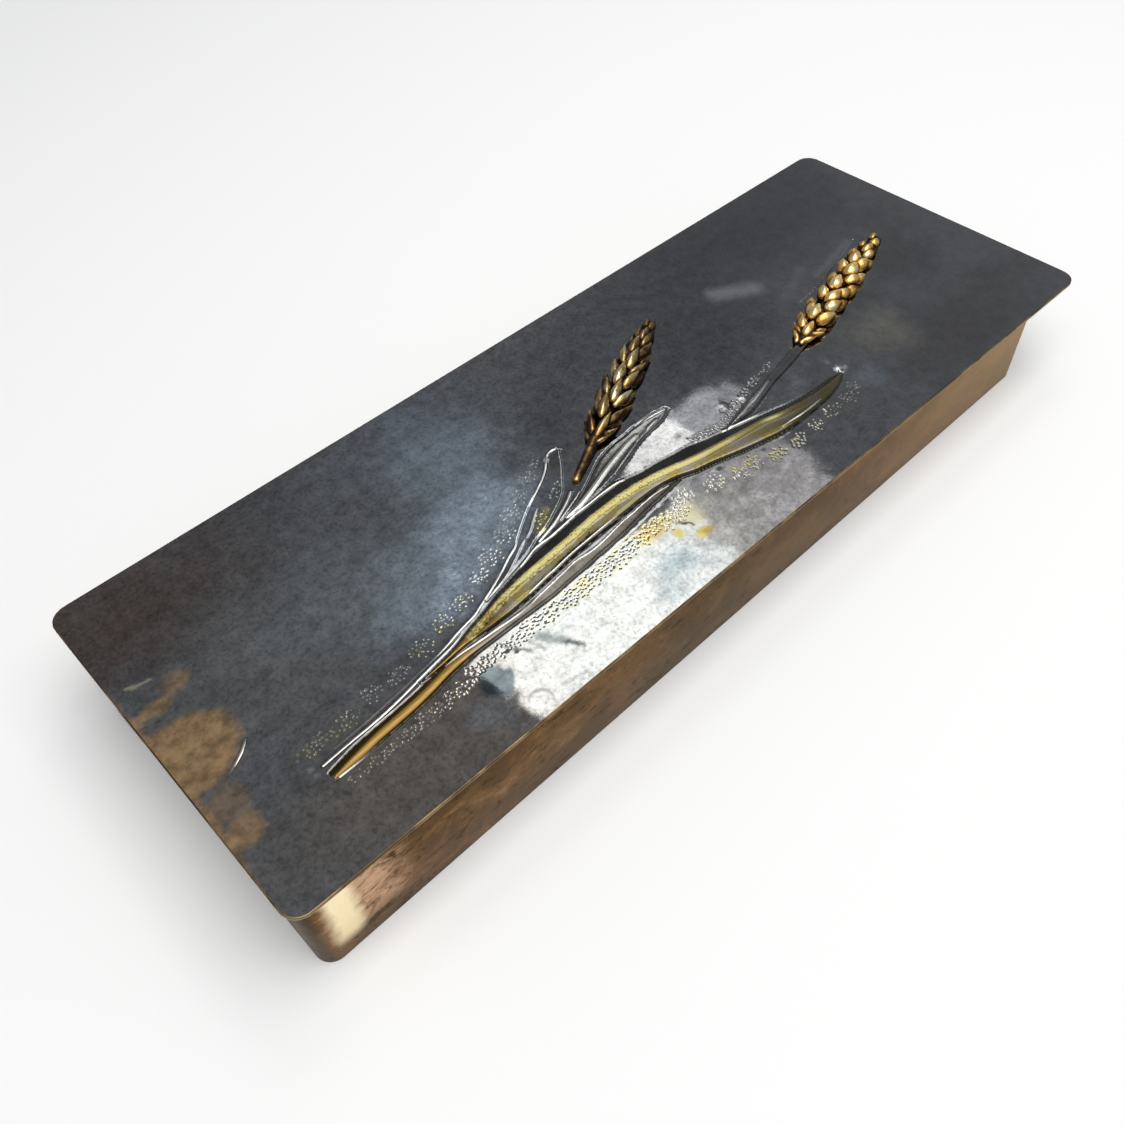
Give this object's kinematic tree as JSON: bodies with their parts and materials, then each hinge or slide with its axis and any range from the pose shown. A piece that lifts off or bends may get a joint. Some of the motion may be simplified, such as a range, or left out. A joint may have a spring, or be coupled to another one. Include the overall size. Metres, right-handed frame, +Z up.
{
  "type": "hinged metal keepsake box",
  "caption": "Long, flat brass box with a hinged overhanging lid plate, a wheat spray in relief on the lid and a thin wood lining.",
  "frame": {"origin": "on the table, under the middle of the lid plate's outline", "axes": "+X along the box towards the long overhang of the lid plate, +Y from the front to the hinge at the back, +Z up"},
  "size_m": [0.2708, 0.0992, 0.0319],
  "materials": {
    "silvered_brass": "silvered sheet brass, dark with tarnish, smudged and worn",
    "cast_brass": "cast brass, bright on the high places and dark in the hollows",
    "bare_brass": "bare brass, lightly tarnished",
    "patinated_brass": "brown patinated sheet brass with darker and pinker streaks",
    "lining_wood": "plain oiled wood boards"
  },
  "bodies": {
    "case": {"wall_band": "patinated_brass", "base_plate": "patinated_brass", "floor_liner": "lining_wood", "liner_front": "lining_wood", "liner_back": "lining_wood", "liner_left": "lining_wood", "liner_right": "lining_wood", "hinge_body_leaf": "bare_brass", "hinge_pin": "bare_brass"},
    "lid": {"lid_plate": "silvered_brass", "wheat_ear_left": "cast_brass", "wheat_ear_right": "cast_brass", "ear_pins": "bare_brass", "lid_liner": "lining_wood", "hinge_lid_leaf": "bare_brass"}
  },
  "joints": [
    {"name": "lid_hinge", "type": "hinge", "parent": "case", "child": "lid", "pos_m": [-0.00725, 0.0423, 0.0242], "axis": [-1, 0, 0], "range_deg": [0, 115]}
  ]
}
